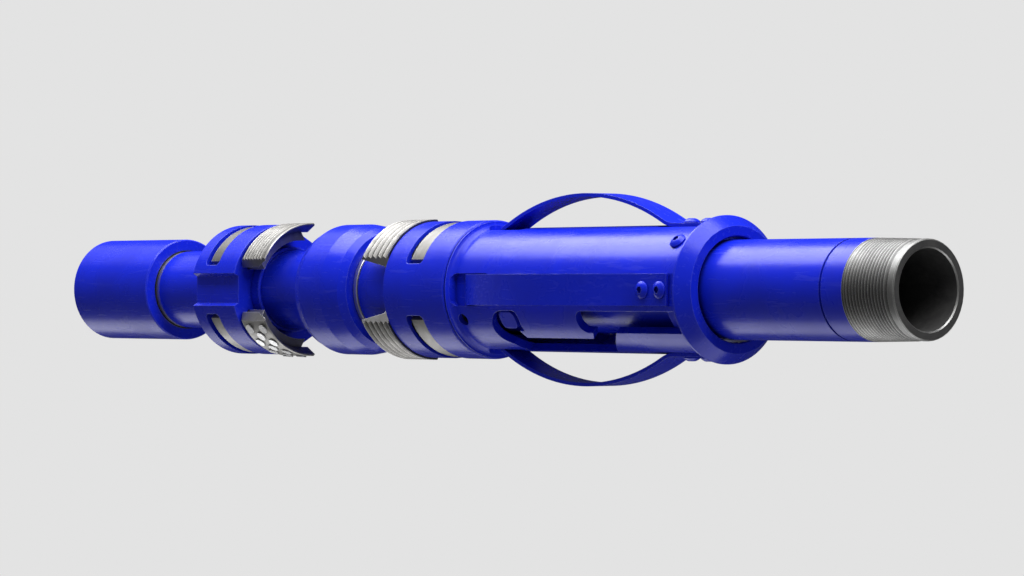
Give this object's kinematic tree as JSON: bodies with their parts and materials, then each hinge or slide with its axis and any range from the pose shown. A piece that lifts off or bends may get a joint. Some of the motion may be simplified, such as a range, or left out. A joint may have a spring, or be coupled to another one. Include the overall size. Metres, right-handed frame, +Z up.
{
  "type": "tubing anchor catcher",
  "caption": "Tubing anchor catcher with slip cages, a double cone, bow springs and J-slots, painted blue, with a coupling and a threaded pin.",
  "frame": {"origin": "on the tool axis, half way along the tool", "axes": "+X along the tool axis towards the pin end, -Y towards the front with the visible J-slot, +Z up"},
  "size_m": [1.074, 0.1576, 0.1576],
  "materials": {
    "blue_paint": "gloss",
    "bare_steel": "satin",
    "dark_steel": "matte",
    "carbide": "matte"
  },
  "bodies": {
    "mandrel_assembly": {"coupling": "blue_paint", "mandrel": "blue_paint", "cone_body": "blue_paint", "cone_lock_ring": "bare_steel", "cage_stop_ring": "dark_steel", "j_lug_front": "blue_paint", "j_lug_back": "blue_paint"},
    "upper_cage_assembly": {"upper_cage": "blue_paint", "cage_guide_bush": "blue_paint"},
    "upper_slip_top": {"upper_slip_top": "bare_steel"},
    "upper_slip_bottom": {"upper_slip_bottom": "bare_steel", "carbide_buttons": "carbide"},
    "upper_slip_rear": {"upper_slip_rear": "bare_steel"},
    "drag_assembly": {"lower_cage": "blue_paint", "drag_body": "blue_paint", "end_ring": "blue_paint", "bow_spring_front": "blue_paint", "bow_spring_top": "blue_paint", "bow_spring_rear": "blue_paint", "bow_spring_bottom": "blue_paint", "spring_screws_front": "blue_paint", "spring_screws_top": "blue_paint", "spring_screws_rear": "blue_paint", "spring_screws_bottom": "blue_paint", "ring_screws": "blue_paint", "cage_lock_screws": "dark_steel"},
    "lower_slip_top": {"lower_slip_top": "bare_steel"},
    "lower_slip_bottom": {"lower_slip_bottom": "bare_steel"},
    "lower_slip_rear": {"lower_slip_rear": "bare_steel"}
  },
  "joints": [
    {"name": "upper_cage_slide", "type": "slide", "parent": "mandrel_assembly", "child": "upper_cage_assembly", "axis": [1, 0, 0], "range_m": [0, 0.055]},
    {"name": "drag_turn", "type": "hinge", "parent": "mandrel_assembly", "child": "drag_assembly", "pos_m": [0.1795, 0, 0], "axis": [1, 0, 0], "range_deg": [-37, 0]},
    {"name": "upper_slip_top_out", "type": "slide", "parent": "upper_cage_assembly", "child": "upper_slip_top", "axis": [0, -0.5, 0.866], "range_m": [0, 0.004]},
    {"name": "upper_slip_bottom_out", "type": "slide", "parent": "upper_cage_assembly", "child": "upper_slip_bottom", "axis": [0, -0.5, -0.866], "range_m": [0, 0.004]},
    {"name": "upper_slip_rear_out", "type": "slide", "parent": "upper_cage_assembly", "child": "upper_slip_rear", "axis": [0, 1, 0], "range_m": [0, 0.004]},
    {"name": "lower_slip_top_out", "type": "slide", "parent": "drag_assembly", "child": "lower_slip_top", "axis": [0, -0.5, 0.866], "range_m": [0, 0.004], "stiffness_N_per_m": 4000, "springref_m": -0.003},
    {"name": "lower_slip_bottom_out", "type": "slide", "parent": "drag_assembly", "child": "lower_slip_bottom", "axis": [0, -0.5, -0.866], "range_m": [0, 0.004]},
    {"name": "lower_slip_rear_out", "type": "slide", "parent": "drag_assembly", "child": "lower_slip_rear", "axis": [0, 1, 0], "range_m": [0, 0.004]}
  ],
  "couplings": [
    {"joint": "upper_slip_top_out", "follows": "upper_cage_slide", "ratio": 0.072},
    {"joint": "upper_slip_bottom_out", "follows": "upper_cage_slide", "ratio": 0.072},
    {"joint": "upper_slip_rear_out", "follows": "upper_cage_slide", "ratio": 0.072},
    {"joint": "lower_slip_bottom_out", "follows": "lower_slip_top_out", "ratio": 1},
    {"joint": "lower_slip_rear_out", "follows": "lower_slip_top_out", "ratio": 1}
  ]
}
